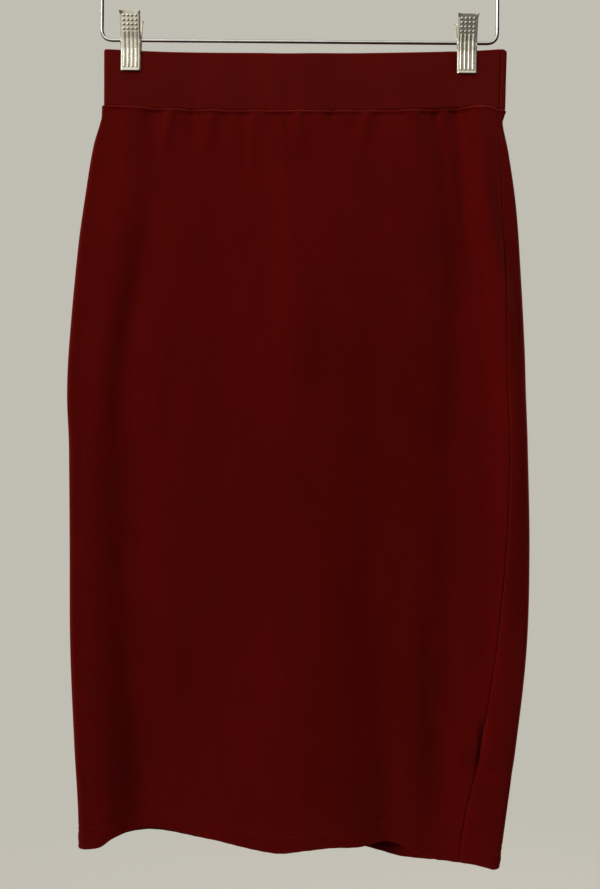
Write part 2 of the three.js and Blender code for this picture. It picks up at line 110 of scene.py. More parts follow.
class Finish:
    # a material or world tree; add() makes any node from its type, its settings and its sockets' values or links
    def __init__(self, owner):
        owner.use_nodes = True
        self.owner = owner
        self.tree = owner.node_tree
        self.tree.nodes.clear()

    def add(self, kind, settings=None, values=None, out=0):
        node = self.tree.nodes.new("ShaderNode" + kind)
        for key, value in (settings or {}).items():
            if key == "stops":
                ramp = node.color_ramp
                while len(ramp.elements) < len(value):
                    ramp.elements.new(0.5)
                for stop, (place, colour) in zip(ramp.elements, value):
                    stop.position = place
                    stop.color = (*colour, 1)
            else:
                setattr(node, key, value)
        for key, value in (values or {}).items():
            if isinstance(value, Signal):
                self.tree.links.new(value.socket, node.inputs[key])
            else:
                node.inputs[key].default_value = value
        return Signal(self.tree, node.outputs[out])

    def axes(self, place):
        # the three numbers of a place or a direction
        node = self.add("SeparateXYZ", None, {0: place}).socket.node
        return [Signal(self.tree, number) for number in node.outputs]

    def mix(self, share, first, second):
        # sockets 6 and 7 of a Mix node are its two colours
        return self.add("Mix", {"data_type": "RGBA"}, {0: share, 6: first, 7: second}, out=2)

    def noise(self, place, scale, detail=2.0, roughness=0.5):
        return self.add("TexNoise", None, {"Vector": place, "Scale": scale, "Detail": detail,
                                           "Roughness": roughness})

    def close(self, shader):
        kind = "OutputWorld" if isinstance(self.owner, bpy.types.World) else "OutputMaterial"
        end = self.tree.nodes.new("ShaderNode" + kind)
        self.tree.links.new(shader.socket, end.inputs["Surface"])
        return self.owner


def rgb(red, green, blue):
    return (red, green, blue, 1)


# Jersey
jersey = {
    "body": (0.074, 0.0016, 0.0011),
    "band": (0.079, 0.0030, 0.0022),
    "wale": 0.00078,  # one column of stitches
    "course": 0.00062,  # one row of stitches
    "knitDepth": 0.00012,
    "fuzz": 0.00006,
    "roughness": 0.86,
    "specular": 0.03,
    "sheen": 0.34,
    "sheenTint": (0.85, 0.14, 0.10),
    "patchScale": 11,
    "patchShade": 0.26,
    "cloudScale": 46,
    "cloudShade": 0.42,
    "fleckScale": 620,
    "fleckShade": 0.34,
    "wornShade": 0.16,
}


def jerseyFinish(name, colour):
    # Stitches are V shapes: the phase along the wale grows with the distance from its middle, and each leg is
    # round across the wale. The nap lies in upright patches, flecks shift the shade, worn edges are lighter, and
    # the colour darkens in the hollows between the loops as painted shade.
    finish = Finish(bpy.data.materials.new(name))
    across, along = finish.axes(finish.add("UVMap", {"uv_map": "cloth"}))[:2]
    place = finish.add("TexCoord", out=3)
    leg = abs((across / jersey["wale"]).part() - 0.5)
    phase = along / jersey["course"] + leg * 1.5
    loop = (1 - abs(leg - 0.25) * 3.4) * (0.62 + 0.38 * phase.wave())
    fuzz = finish.noise(place, 1500, 3, 0.7)
    height = loop * jersey["knitDepth"] + fuzz * jersey["fuzz"]
    bump = finish.add("Bump", None, {"Strength": 0.8, "Distance": 1.0, "Height": height})
    upright = finish.add("Mapping", None, {"Vector": place, "Scale": (1, 1, 0.35)})
    patch = finish.noise(upright, jersey["patchScale"], 2)
    cloud = finish.noise(upright, jersey["cloudScale"], 4, 0.65)
    fleck = finish.noise(place, jersey["fleckScale"], 2, 0.6)
    worn = finish.add("Attribute", {"attribute_name": "worn"}, out=2)
    shade = 1 + (patch - 0.5) * jersey["patchShade"] + (cloud - 0.5) * jersey["cloudShade"]
    shade = shade + (fleck - 0.5) * jersey["fleckShade"]
    # painted shade: the colour darkens where the knit loops sink
    shade = shade * (0.93 + 0.07 * loop) + worn * jersey["wornShade"]
    dark = finish.add("VectorMath", {"operation": "SCALE"}, {0: colour, "Scale": shade})
    rough = jersey["roughness"] + (cloud - 0.5) * 0.1
    shader = finish.add("BsdfPrincipled", None, {
        "Base Color": dark,
        "Roughness": rough,
        "Normal": bump,
        "Specular IOR Level": jersey["specular"],
        "Sheen Weight": jersey["sheen"],
        "Sheen Roughness": 0.45,
        "Sheen Tint": rgb(*jersey["sheenTint"]),
    })
    return finish.close(shader)


# Thread
# the thread is lighter than the cloth: partly its own tone, partly a painted highlight so the stitches show as light
# dashes
thread = {"colour": (0.094, 0.0038, 0.0028), "twist": 0.0011, "roughness": 0.6}


def threadFinish():
    # two plies wound round each other: slanted ridges along the stitch, with painted shade in the grooves between the
    # plies
    finish = Finish(bpy.data.materials.new("thread"))
    turn, along = finish.axes(finish.add("UVMap", {"uv_map": "cloth"}))[:2]
    ply = (turn + along / thread["twist"]).wave()
    bump = finish.add("Bump", None, {"Strength": 0.6, "Distance": 0.00008, "Height": ply})
    # painted shade: the colour darkens in the grooves of the twist
    shade = 0.9 + ply * 0.12
    colour = finish.add("VectorMath", {"operation": "SCALE"}, {0: thread["colour"], "Scale": shade})
    shader = finish.add("BsdfPrincipled", None, {
        "Base Color": colour,
        "Roughness": thread["roughness"],
        "Normal": bump,
        "Specular IOR Level": 0.2,
    })
    return finish.close(shader)


# Metal
metals = {
    "nickel": {"bright": (0.80, 0.755, 0.64), "dull": (0.64, 0.59, 0.48), "smooth": 0.14, "rough": 0.30,
               "grain": 0.00001, "metallic": 0.76},
    "chrome": {"bright": (0.82, 0.82, 0.81), "dull": (0.66, 0.66, 0.65), "smooth": 0.05, "rough": 0.16,
               "grain": 0.000003, "metallic": 1.0},
    "springSteel": {"bright": (0.52, 0.51, 0.49), "dull": (0.30, 0.29, 0.28), "smooth": 0.26, "rough": 0.45,
                    "grain": 0.00001, "metallic": 1.0},
}


def metalFinish(name):
    # plated steel: hazy patches, fine polishing lines and a slightly uneven face
    metal = metals[name]
    finish = Finish(bpy.data.materials.new(name))
    place = finish.add("TexCoord", out=3)
    haze = finish.noise(place, 90, 4, 0.6)
    stretched = finish.add("Mapping", None, {"Vector": place, "Scale": (1, 1, 0.06)})
    lines = finish.noise(stretched, 4200, 2, 0.5)
    dulled = finish.add("ValToRGB", {"stops": [(0.42, (0, 0, 0)), (0.68, (1, 1, 1))]}, {0: haze})
    colour = finish.mix(dulled, rgb(*metal["bright"]), rgb(*metal["dull"]))
    rough = metal["smooth"] + haze * (metal["rough"] - metal["smooth"]) + (lines - 0.5) * 0.06
    height = lines * metal["grain"] + finish.noise(place, 300, 2) * metal["grain"] * 3
    bump = finish.add("Bump", None, {"Strength": 0.7, "Distance": 1.0, "Height": height})
    shader = finish.add("BsdfPrincipled", None, {
        "Base Color": colour,
        "Metallic": metal["metallic"],
        "Roughness": rough,
        "Normal": bump,
    })
    return finish.close(shader)


bodyJersey = jerseyFinish("bodyJersey", jersey["body"])
bandJersey = jerseyFinish("bandJersey", jersey["band"])
threadRed = threadFinish()
nickel = metalFinish("nickel")
chrome = metalFinish("chrome")
springSteel = metalFinish("springSteel")
print("materials ready")


# Meshes

def gridFaces(columns, rows, first=0):
    # the four corners of each cell of a grid whose points run down each column in turn
    i, j = np.meshgrid(np.arange(columns - 1), np.arange(rows - 1), indexing="ij")
    corner = first + i * rows + j
    return np.stack([corner, corner + 1, corner + rows + 1, corner + rows], -1).reshape(-1, 4)


def shell(outer, inner):
    # a closed wall: the outer grid, the inner grid turned over, and a strip along each of the four edges
    columns, rows = outer.shape[:2]
    skin = columns * rows
    index = np.arange(skin).reshape(columns, rows)
    front = gridFaces(columns, rows)
    back = gridFaces(columns, rows, skin)[:, ::-1]
    loop = np.concatenate([index[:-1, 0], index[-1, :-1], index[:0:-1, -1], index[0, :0:-1]])
    after = np.roll(loop, -1)
    rim = np.stack([loop, after, after + skin, loop + skin], -1)
    points = np.concatenate([outer.reshape(-1, 3), inner.reshape(-1, 3)])
    return points, np.concatenate([front, back, rim])


def facingOut(points, faces):
    # a closed body whose faces point inwards has a negative volume
    a, b, c, d = (points[faces[:, k]] for k in range(4))
    volume = (a * np.cross(b, c)).sum() + (a * np.cross(c, d)).sum()
    return faces if volume > 0 else faces[:, ::-1]


def joined(parts):
    # several bodies as one list of points and one of faces
    offset = np.cumsum([0] + [len(points) for points, faces in parts])
    points = np.concatenate([points for points, faces in parts])
    faces = np.concatenate([faces + start for (found, faces), start in zip(parts, offset)])
    return points, faces


def addPiece(name, points, faces, finish, replaced=None, uv=None, worn=None):
    # points and uv are in metres, and replaced is the CAD node that the piece stands for
    mesh = bpy.data.meshes.new(name)
    mesh.from_pydata(points, [], facingOut(points, faces))
    mesh.polygons.foreach_set("use_smooth", np.ones(len(mesh.polygons), bool))
    corners = np.zeros(len(mesh.loops), np.int32)
    mesh.loops.foreach_get("vertex_index", corners)
    if uv is not None:
        layer = mesh.uv_layers.new(name="cloth")
        layer.data.foreach_set("uv", uv[corners].astype(np.float32).ravel())
    if worn is not None:
        attribute = mesh.attributes.new("worn", "FLOAT", "POINT")
        attribute.data.foreach_set("value", worn.astype(np.float32))
    mesh.materials.append(finish)
    mesh.update()
    piece = bpy.data.objects.new(name, mesh)
    bpy.context.scene.collection.objects.link(piece)
    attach(piece, "root")
    if replaced:
        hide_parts(replaced)
    return piece


def smoothStep(value, low, high):
    # 0 up to low, 1 from high on, and an S curve between them
    t = np.clip((value - low) / (high - low), 0, 1)
    return t * t * (3 - 2 * t)


def bell(distance, width):
    # 1 in the middle, and 1/e at the width
    return np.exp(-(distance / width) ** 2)


def unit(vectors):
    # each vector over its own length
    return vectors / np.maximum(np.linalg.norm(vectors, axis=-1, keepdims=True), 1e-12)


def runLength(points):
    # the distance along a path to each of its points
    return np.concatenate([[0], np.cumsum(np.linalg.norm(np.diff(points, axis=0), axis=1))])


def smoothThrough(keys, values, place):
    # a cubic between two rows, whose slope at each row is taken from the rows beside it
    keys = np.array(keys, float)
    values = np.array(values, float)
    i = np.searchsorted(keys[1:-1], place, side="left")
    before = np.maximum(i - 1, 0)
    after = np.minimum(i + 2, len(keys) - 1)
    step = keys[i + 1] - keys[i]
    t = np.clip((place - keys[i]) / step, 0, 1)
    leave = (values[i + 1] - values[before]) / (keys[i + 1] - keys[before]) * step
    arrive = (values[after] - values[i]) / (keys[after] - keys[i]) * step
    rise = values[i + 1] - values[i]
    return values[i] + t * leave + t ** 2 * (3 * rise - 2 * leave - arrive) + t ** 3 * (leave + arrive - 2 * rise)


# Cloth
cloth = {
    "jersey": 1.3,  # thickness of a panel
    "length": 670,  # waist seam to hem
    "waistHeight": -259.8,
    "waistSag": 6.3,
    "waistDip": 4.2,  # how far the waist seam drops at the right side seam
    "dipStart": 168,
    "dipEnd": 182,
    "hemTurn": 22,
    "seamRoll": 1.3,  # how far from a seam the cloth starts to turn in
    "seamSink": 0.5,  # how deep the seam lies
    "seamWidth": 1.1,
    "flap": 24,  # rough width of a panel from its far seam to the fold
    "face": 380,  # and from the fold across to its other seam
    "seamRipple": 0.3,
    "rollUp": 1.15,  # the bulge at the waist seam
    "rollDown": 1.25,  # and the groove under it
    "pucker": 0.62,
}

# down is from the waist seam, left and right are the edges from the hook's middle, seam is the side seam's
# distance from the edge, fold is the folded edge's radius, open and swell are how far and how wide a layer swells
sections = {
    "down": [0, 5, 12, 38, 83, 128, 218, 263, 308, 398, 488, 578, 636, 688],
    "left": [179.4, 181, 181.4, 188.8, 196.2, 202.4, 210.6, 212.4, 210.6, 209.8, 209.2, 205.4, 202, 201],
    "right": [184.4, 184.2, 182.3, 187.2, 193.6, 197.2, 201.4, 202.2, 203.8, 205.4, 202.6, 192.4, 184.2, 176.6],
    "seam": [6.5, 6.2, 4.4, 7.6, 12.8, 15.4, 17.9, 17.6, 17.9, 22.9, 28.9, 32.7, 37.6, 36.7],
    "fold": [2.3, 2.7, 3, 3.8, 4.6, 5.2, 5.8, 6, 6, 6, 6, 6, 6, 6],
    "open": [3, 3.2, 3.8, 5.3, 7.4, 8.8, 10.4, 10.8, 11, 11.2, 11.2, 11, 10.8, 10.6],
    "swell": [140, 142, 146, 160, 180, 190, 200, 202, 202, 202, 200, 196, 192, 186],
}

# length of each layer at the hem, across the skirt
hemLine = {
    "x": [-202, -192, -181, -170, -157, -138, -92, -24, 3, 27, 54, 74, 88, 103, 121, 134, 157, 180],
    "front": [671, 671, 669.5, 662, 657.2, 653.8, 657.8, 666.8, 663.6, 661.2, 662.2, 660.8, 664, 671.2, 678, 678.8,
              681.4, 688],
    "back": [671, 671, 670, 665.5, 662.5, 661, 665, 670, 669, 668, 671.5, 675.5, 678.5, 679.5, 680.5, 680.5, 683, 688],
}

# Long soft folds: the layers that have it, its place at the waist, half way and at the hem, its width, and how
# far it pushes the layer back at those heights
longFolds = [
    ("front", (-140, -148, -138), 36, (0.3, 4, 13)),
    ("back", (-150, -160, -136), 40, (0.2, 1.5, 10)),
    ("front", (-148, -185, -171), 17, (-1.5, -3.6, -3)),
    ("front", (0, 10, -8), 46, (-0.8, -3.2, -1.4)),
    ("front", (134, 136, 116), 22, (0.6, 3.6, 7)),
    ("front", (90, 80, 78), 24, (0, 0, 12)),
    ("front", (158, 184, 170), 14, (-2, -3.6, -1.5)),
    ("back", (-70, -84, -60), 30, (0, -2.5, -6)),
    ("back", (40, 30, 24), 36, (0, 2, 5)),
    ("back", (118, 124, 112), 26, (-0.2, -3, -5)),
    ("back", (152, 182, 168), 16, (1.2, 2.6, 1.2)),
    ("front and back", (-181, -206, -201), 40, (0, -1, -4)),
    ("front and back", (182, 204, 180), 46, (0, -3, -13)),
]

# Gathers below the waist seam: place, how far each runs aside, how far down it reaches, its width and its depth.
# A depth above zero pushes back, so on the front it is a trough, and below zero a ridge.
gathers = {
    "front": [(-158, -6, 40, 6, -0.6), (-136, -8, 30, 4.5, 1.0), (-129, -8, 26, 5.5, 1.0), (-117, -10, 52, 5, -1.7),
              (-100, 1, 17, 3.4, 0.9), (-96, -3, 30, 5, 0.8), (-81, -7, 54, 4.6, -1.3), (-72, 3, 20, 4, 1.2),
              (-58, 3, 16, 3.2, 1.1), (-50, -3, 24, 5, 0.6), (-41, -5, 78, 5, -1.3), (-29, 2, 23, 4.5, 1.0),
              (-14, 6, 60, 3, 0.6), (-2, 0, 50, 3.8, -1.2), (13, 1, 12, 3, -0.5), (25, 1, 21, 5, 1.1),
              (40, -2, 16, 3.2, -1.2), (48, -1, 20, 4, 0.7), (60, -9, 50, 5, -1.6), (70, 2, 16, 3.6, 1.1),
              (84, 2, 17, 4.2, 1.2), (94, 3, 12, 2.8, -0.6), (102, 6, 36, 4.2, -1.3), (111, 4, 12, 2.6, 0.7),
              (119, 4, 27, 4.6, 2.6), (128, 2, 34, 3.6, -0.9), (134, 2, 12, 2.8, 0.8), (141, 2, 30, 3.8, 1.7),
              (150, 2, 14, 3, 0.6), (168, 3, 22, 4, 0.7)],
    "back": [(-162, -6, 36, 6, 0.6), (-140, -6, 44, 6, -0.9), (-121, -2, 18, 4, 0.8), (-101, -4, 56, 6.5, -1.2),
             (-86, 2, 20, 4, 1.0), (-74, -3, 30, 5.5, -0.8), (-52, 2, 60, 4.6, 1.2), (-30, -1, 24, 6, -1.0),
             (-9, 1, 46, 4.2, 1.0), (12, 2, 36, 6.5, -1.1), (31, 1, 18, 3.6, 0.9), (46, 1, 30, 5.5, -0.8),
             (68, 3, 54, 4.8, 1.3), (88, 3, 40, 6, -1.3), (107, 2, 18, 4, 1.0), (126, 4, 48, 6, -0.9),
             (144, 4, 22, 4, 0.9), (160, 4, 34, 5, -0.7)],
}

# Creases: a path down the layer, each row its distance down, its place, its width to the left and to the right
# and its depth there.
creases = {
    "front": [
        [(0, -126, 7, 12, 0.1), (25, -128, 8, 14, 1.0), (80, -133, 11, 18, 2.4), (125, -141, 11, 20, 3.0),
         (170, -149, 10, 22, 3.6), (230, -159, 10, 22, 2.8), (280, -163, 11, 20, 1.8), (350, -160, 13, 24, 0.8),
         (440, -150, 15, 26, 0.5), (530, -146, 13, 24, 0.7), (600, -148, 12, 22, 1.4), (640, -152, 10, 16, 0.8),
         (665, -152, 9, 14, 0)],
        [(300, -172, 9, 9, 0), (360, -174, 10, 10, -1.2), (450, -172, 10, 10, -1.4), (560, -168, 10, 10, -1.3),
         (640, -164, 9, 9, 0)],
        [(330, -84, 28, 56, 0), (420, -88, 32, 66, 3.8), (500, -92, 36, 74, 8), (590, -96, 38, 80, 10.5),
         (668, -94, 38, 80, 9.5)],
        [(540, 176, 38, 30, 0), (620, 176, 40, 30, 4.5), (668, 176, 40, 30, 5)],
        [(50, -6, 22, 50, 0), (120, -6, 24, 76, -3.4), (190, -4, 25, 90, -6.2), (260, -4, 28, 86, -4),
         (400, -4, 30, 70, -2.2), (560, -6, 34, 50, -2.2), (640, -6, 30, 36, 0)],
        [(0, 123, 4, 6, 0), (30, 126, 4, 7, 1.2), (75, 129, 4, 7, 1.2), (120, 132, 5, 7, 0.8), (160, 135, 6, 8, 0)],
        [(8, 143, 4, 5, 0), (45, 143, 4, 5, 0.8), (85, 145, 4, 5, 1.0), (115, 147, 5, 5, 0.8), (155, 151, 6, 6, 0)],
        [(0, 160, 12, 7, -0.2), (12, 161, 13, 7, -2), (80, 166, 13, 7, -3.4), (125, 173, 14, 6, -4.6),
         (170, 181, 16, 9, -6.8), (215, 187, 16, 9, -6.8), (270, 192, 15, 9, -7), (320, 192, 15, 9, -5.6),
         (380, 191, 16, 9, -3), (450, 189, 16, 9, -1.4), (540, 184, 15, 9, 0)],
        [(30, 134, 8, 12, 0.4), (80, 138, 9, 14, 1.2), (150, 139, 10, 14, 1.6), (220, 138, 11, 14, 1.6),
         (290, 134, 12, 14, 1.0), (350, 128, 12, 14, 0.5), (420, 122, 12, 14, 0)],
        [(420, 112, 7, 7, 0), (470, 114, 7, 7, 0.7), (530, 114, 7, 8, 0.9), (590, 112, 8, 8, 0)],
        [(465, 124, 16, 14, 0), (520, 122, 20, 16, 1.2), (575, 122, 22, 18, 2.8), (612, 128, 20, 16, 2.4),
         (648, 136, 14, 12, 0)],
        [(430, 66, 20, 20, 0), (500, 72, 24, 20, 1.4), (570, 76, 26, 20, 1.4), (640, 84, 20, 16, 0.4),
         (660, 84, 18, 16, 0)],
        [(548, 163, 2.6, 4, 0), (564, 161.5, 3, 4, 3.2), (584, 160, 3, 4, 3.2), (604, 158, 2.6, 4, 0)],
        [(90, 20, 14, 16, 0), (160, 26, 16, 18, 0.5), (240, 24, 16, 18, 0.5), (330, 34, 16, 18, 0)],
        [(200, -112, 9, 12, 0), (260, -116, 9, 12, 0.8), (320, -114, 9, 12, 0.6), (370, -110, 9, 12, 0)],
        [(250, 62, 12, 14, 0), (320, 58, 13, 14, 1.1), (400, 60, 13, 14, 0.9), (470, 56, 12, 14, 0)],
    ],
    "back": [
        [(10, -170, 10, 12, 0), (90, -180, 11, 13, 1.6), (190, -190, 11, 13, 1.8), (320, -196, 11, 13, 0)],
        [(30, -134, 11, 14, 0), (140, -144, 12, 15, -2.2), (300, -158, 13, 16, -2.6), (460, -154, 12, 15, -2.2),
         (600, -144, 12, 15, -2.8), (664, -140, 12, 15, 0)],
        [(60, -64, 20, 26, 0), (190, -46, 28, 32, 2.4), (330, -44, 28, 32, 2.2), (470, -52, 24, 28, 0)],
        [(20, 42, 10, 12, 0), (150, 36, 12, 15, -2), (330, 28, 15, 18, -2.6), (520, 28, 16, 20, -3),
         (650, 30, 14, 16, 0)],
        [(100, 94, 12, 14, 0), (230, 106, 16, 19, 1.9), (390, 104, 15, 18, 2.1), (500, 98, 13, 16, 0)],
        [(30, 150, 8, 10, 0), (110, 157, 10, 12, -1.9), (220, 166, 10, 11, -1.5), (300, 168, 9, 10, 0)],
        [(370, -100, 14, 17, 0), (450, -98, 16, 19, 1.7), (560, -94, 15, 18, 1.3), (610, -92, 14, 16, 0)],
        [(540, 84, 8, 11, 0), (600, 88, 9, 12, -1.7), (660, 94, 9, 12, -0.6)],
    ],
}

# Dents: place, distance down, half length, half width, slant in degrees (rising to the right above zero), depth
dents = {
    "front": [(168, 598, 19, 8, -24, 3.4), (156, 652, 12, 2.4, -14, 1.3), (150, 640, 9, 4, 10, -0.7),
              (-205, 334, 22, 4, 86, -1.0), (-198, 315, 15, 5, 80, 0.8), (183, 300, 5, 3, -60, 0.8),
              (186, 312, 6, 3, -50, 0.8), (188, 326, 6, 2.6, -45, 0.6), (181, 236, 6, 3, -30, 0.6),
              (-146, 655, 12, 8, 20, -0.8), (-86, 648, 14, 7, 10, 0.7), (-32, 652, 16, 6, -4, -0.7),
              (176, 455, 10, 3, -20, 0.7), (177, 520, 9, 3, -12, -0.6)],
    "back": [(-190, 256, 8, 3, -40, -0.8), (-190, 273, 10, 3, -35, -0.7), (180, 388, 10, 3, -50, -0.8),
             (-120, 650, 14, 7, 8, 0.8), (-14, 630, 30, 8, 78, 0.8), (60, 654, 16, 6, -6, 0.7)],
}


def waistLine(x):
    # the waist seam's height, which sags between the edges as a parabola
    return cloth["waistHeight"] - cloth["waistSag"] * np.maximum(0, 1 - ((x - 3.6) / 182.6) ** 2)


def waistDip(x):
    # how far the seam drops near the right edge
    return cloth["waistDip"] * smoothStep(x, cloth["dipStart"], cloth["dipEnd"])


def threeWay(values, fall):
    # a parabola through the values at the waist, half way down and at the hem
    waist, middle, hem = values
    return waist * (1 - fall) * (1 - 2 * fall) + 4 * middle * fall * (1 - fall) + hem * fall * (2 * fall - 1)


slowWaves = np.random.default_rng(11).uniform(-1, 1, (14, 5))


def unevenness(layer, x, down):
    # a sum of slow sine waves in both directions, which fades in below the waist seam
    total = 0 * x
    for k, (a, b, c, d, e) in enumerate(slowWaves):
        shift = 3.1 * k + (5 if layer == "back" else 0)
        total = total + (0.5 + 0.5 * c) * np.sin((x * (1.2 + a) + down * (0.35 + 0.3 * b)) / 24 + 6 * d + shift)
    return 0.2 * total * np.clip(down / 60, 0, 1)


def layerPush(layer, x, down):
    # the long folds, gathers, creases, dents and slow waves of one layer, as a distance towards the back
    fall = down / cloth["length"]
    push = unevenness(layer, x, down)
    for layers, place, width, depth in longFolds:
        if layer in layers:
            push = push + bell(x - threeWay(place, fall), width) * threeWay(depth, fall)
    for place, aside, reach, width, depth in gathers[layer]:
        held = (0.4 + 0.85 * smoothStep(down, 0, 5)) * np.exp(-(np.maximum(down, 0) / reach) ** 1.6)
        push = push + depth * held * bell(x - place - aside * down / reach, width * (1 + 0.3 * down / reach))
    for path in creases[layer]:
        level, place, left, right, depth = zip(*path)
        away = x - smoothThrough(level, place, down)
        width = np.where(away < 0, smoothThrough(level, left, down), smoothThrough(level, right, down))
        push = push + smoothThrough(level, depth, down) * bell(away, width)
    for place, level, longWay, shortWay, slant, depth in dents[layer]:
        cosine, sine = math.cos(math.radians(slant)), math.sin(math.radians(slant))
        along = (x - place) * cosine - (down - level) * sine
        away = (x - place) * sine + (down - level) * cosine
        push = push + depth * bell(along, longWay) * bell(away, shortWay)
    return push


def skirtSection(down):
    # the row of the table at a distance down: the middle between the edges, half the spine on which the layers lie,
    # the fold's radius, the swelling's height and width, and half the distance between the side seams
    read = {name: smoothThrough(sections["down"], sections[name], down)
            for name in sections if name != "down"}
    half = (read["left"] + read["right"]) / 2 - cloth["jersey"] / 2
    middle = (read["right"] - read["left"]) / 2
    reach = half - read["fold"]
    return middle, reach, read["fold"], read["open"], read["swell"], half + cloth["jersey"] / 2 - read["seam"]


def swelling(middle, wide, swell, x):
    # how far a layer stands off: a round arch that runs out flat at both ends
    return wide * (1 - np.minimum(1, np.abs(x - middle) / swell) ** 2) ** 1.5


def loopPlace(side, u, reach, seamReach):
    # u runs from -2 at the far seam to -1 along the flap, to 0 round the fold and to 1 across the face
    turn = (-math.pi if side > 0 else 0) + math.pi * np.clip(u + 1, 0, 1)
    seam = seamReach / reach
    flap = -side * (seam + (1 - seam) * (u + 2))
    face = side * (-1 + (seam + 1) * u)
    return turn, np.where(u < -1, flap, np.where(u < 0, -side, face))


def skirtMiddle(side, u, fall):
    # a point of the panel's middle surface, in millimetres
    middle, reach, fold, wide, swell, seamReach = skirtSection(fall * cloth["length"])
    turn, across = loopPlace(side, u, reach, seamReach)
    frontShare = (1 + np.cos(turn)) / 2
    guess = middle + across * reach
    length = frontShare * smoothThrough(hemLine["x"], hemLine["front"], guess)
    length = length + (1 - frontShare) * smoothThrough(hemLine["x"], hemLine["back"], guess)
    down = fall * length
    middle, reach, fold, wide, swell, seamReach = skirtSection(down)
    spine = middle + across * reach
    x = spine + fold * np.sin(turn)
    y = -np.cos(turn) * (fold + swelling(middle, wide, swell, spine))
    y = y + frontShare * layerPush("front", spine, down) + (1 - frontShare) * layerPush("back", spine, down)
    z = waistLine(x) - waistDip(x) * (1 - np.clip(fall, 0, 1)) ** 3 - down
    return np.stack(np.broadcast_arrays(x, y, z), -1)


def surface(middlePoint, side, u, fall):
    # points and outward normals from the slopes along both parameters
    small = 0.0008
    points = middlePoint(side, u, fall)
    along = middlePoint(side, np.minimum(u + small, 1), fall) - middlePoint(side, np.maximum(u - small, -2), fall)
    below = middlePoint(side, u, fall + small) - middlePoint(side, u, fall - small)
    return points, unit(np.cross(below, along))


def rounded(distance, radius):
    # the share of a wall's half thickness left at a distance from its round edge
    t = np.clip(distance / radius, 0, 1)
    return np.sqrt(np.maximum(1 - (1 - t) ** 2, 0.004))


def dense(steps, length, fine, count):
    # places from 0 to 1 whose steps start fine, in millimetres, and grow to an even pitch
    near = fine * (1.28 ** np.arange(count) - 1) / 0.28
    rest = np.linspace(near[-1], length, steps)[1:]
    return np.concatenate([near, rest]) / length


def seamDistance(u, flap, face):
    # how far a column is from the nearer side seam
    return np.where(u < -0.5, (u + 2) * flap, (1 - u) * face)


def seamToSeam(flap, face, flapSteps, faceSteps, fine, flapFine, faceFine):
    # u from the far seam round the fold to the other seam, with fine steps at both seams
    start = -2 + dense(flapSteps, flap, fine, flapFine)[:-1]
    fold = np.linspace(-1, 0, 15)[:-1]
    end = 1 - dense(faceSteps, face, fine, faceFine)[::-1]
    end[0] = 0
    return np.concatenate([start, fold, end])[:, None]


def panelRows():
    # the share of the way down, with fine steps at the waist seam, in the hem and at its edge
    length = cloth["length"]
    top = np.concatenate([[-1.2, -0.5], np.linspace(0, 9, 16), np.linspace(10, 30, 14)])
    body = np.linspace(33, length - 24, 165)
    hem = np.concatenate([np.linspace(length - 22, length - 12, 16), np.linspace(length - 11, length - 1.6, 7)])
    tip = length - np.array([1.15, 0.75, 0.45, 0.2, 0.06, 0])
    return np.concatenate([top, body, hem, tip]) / length


# The hem is turned up inside and held by two rows of stitches.
hem = {
    "upperRow": 20.0,  # above the edge
    "lowerRow": 15.2,
    "furrow": 0.42,
    "furrowWidth": 0.75,
    "roping": 0.28,
    "ropingPitch": 11.5,
    "stitch": 2.7,
    "gap": 0.75,
    "threadRadius": 0.19,
}


def panelSkins(side, u, fall):
    # The middle surface moved out and in. The wall turns in at the seams, rolls under the waist seam, is double
    # in the hem with a round edge, and the stitch rows pull furrows in it.
    points, normals = surface(skirtMiddle, side, u, fall)
    down = fall * cloth["length"]
    up = cloth["length"] - down
    toSeam = seamDistance(u, cloth["flap"], cloth["face"]) + 0 * down
    half = cloth["jersey"] / 2
    sink = cloth["seamSink"] * bell(toSeam, cloth["seamWidth"])
    sink = sink - 0.12 * bell(toSeam - 3.2, 1.8) * np.clip(down / 20, 0, 1)
    ripple = np.sin(down / 3.1 + 2.3 * np.sin(down / 29)) * (0.45 + 0.55 * np.sin(down / 47 + side))
    sink = sink + cloth["seamRipple"] * ripple * bell(toSeam, np.where(u < -0.5, 12, 5)) * smoothStep(down, 20, 60)
    across = points[..., 0]
    uneven = 0.75 + 0.35 * np.sin(across / 4.1 + 2.4 * np.sin(across / 19)) * np.sin(across / 13 + 1)
    roll = cloth["rollUp"] * bell(down + 0.6, 1.1) - cloth["rollDown"] * uneven * bell(down - 2.0, 1.5)
    pucker = cloth["pucker"] * np.sin(across / 2.3 + 2.6 * np.sin(across / 27)) * (0.6 + 0.4 * np.sin(across / 17))
    pucker = pucker * bell(down - 4, 4.5) * (1 - smoothStep(np.abs(across), 150, 172))
    furrow = hem["furrow"] * (bell(up - hem["upperRow"], hem["furrowWidth"])
                              + bell(up - hem["lowerRow"], hem["furrowWidth"]))
    rope = hem["roping"] * np.sin((across + 0.9 * up) * 2 * math.pi / hem["ropingPitch"]
                                  + 2 * np.sin(across / 43)) * smoothStep(-up, -17, -9)
    puff = -0.35 * bell(up - 8, 6) - 0.3 * bell(up - 1.6, 2.2)
    move = -(sink + roll + pucker + furrow + rope * 0.7 + puff)
    double = smoothStep(-up, -cloth["hemTurn"] - 0.6, -cloth["hemTurn"])
    edge = rounded(up, 1.3)
    share = rounded(toSeam, cloth["seamRoll"])
    outward = (half * (1 - double) + (1.3 * edge - half) * double) * share
    inward = (half * (1 - double) + (1.3 * edge + half) * double) * share
    outer = points + normals * (move + outward)[..., None]
    inner = points + normals * (move - inward)[..., None]
    return outer, inner, normals


def clothUv(outer):
    # distance round the middle row, and distance down each column
    columns, rows = outer.shape[:2]
    middleRow = outer[:, rows // 2]
    across = runLength(middleRow)
    down = np.linalg.norm(np.diff(outer, axis=1), axis=2).mean(axis=0)
    down = np.concatenate([[0], np.cumsum(down)])
    return np.stack(np.meshgrid(across, down, indexing="ij"), -1) * mm


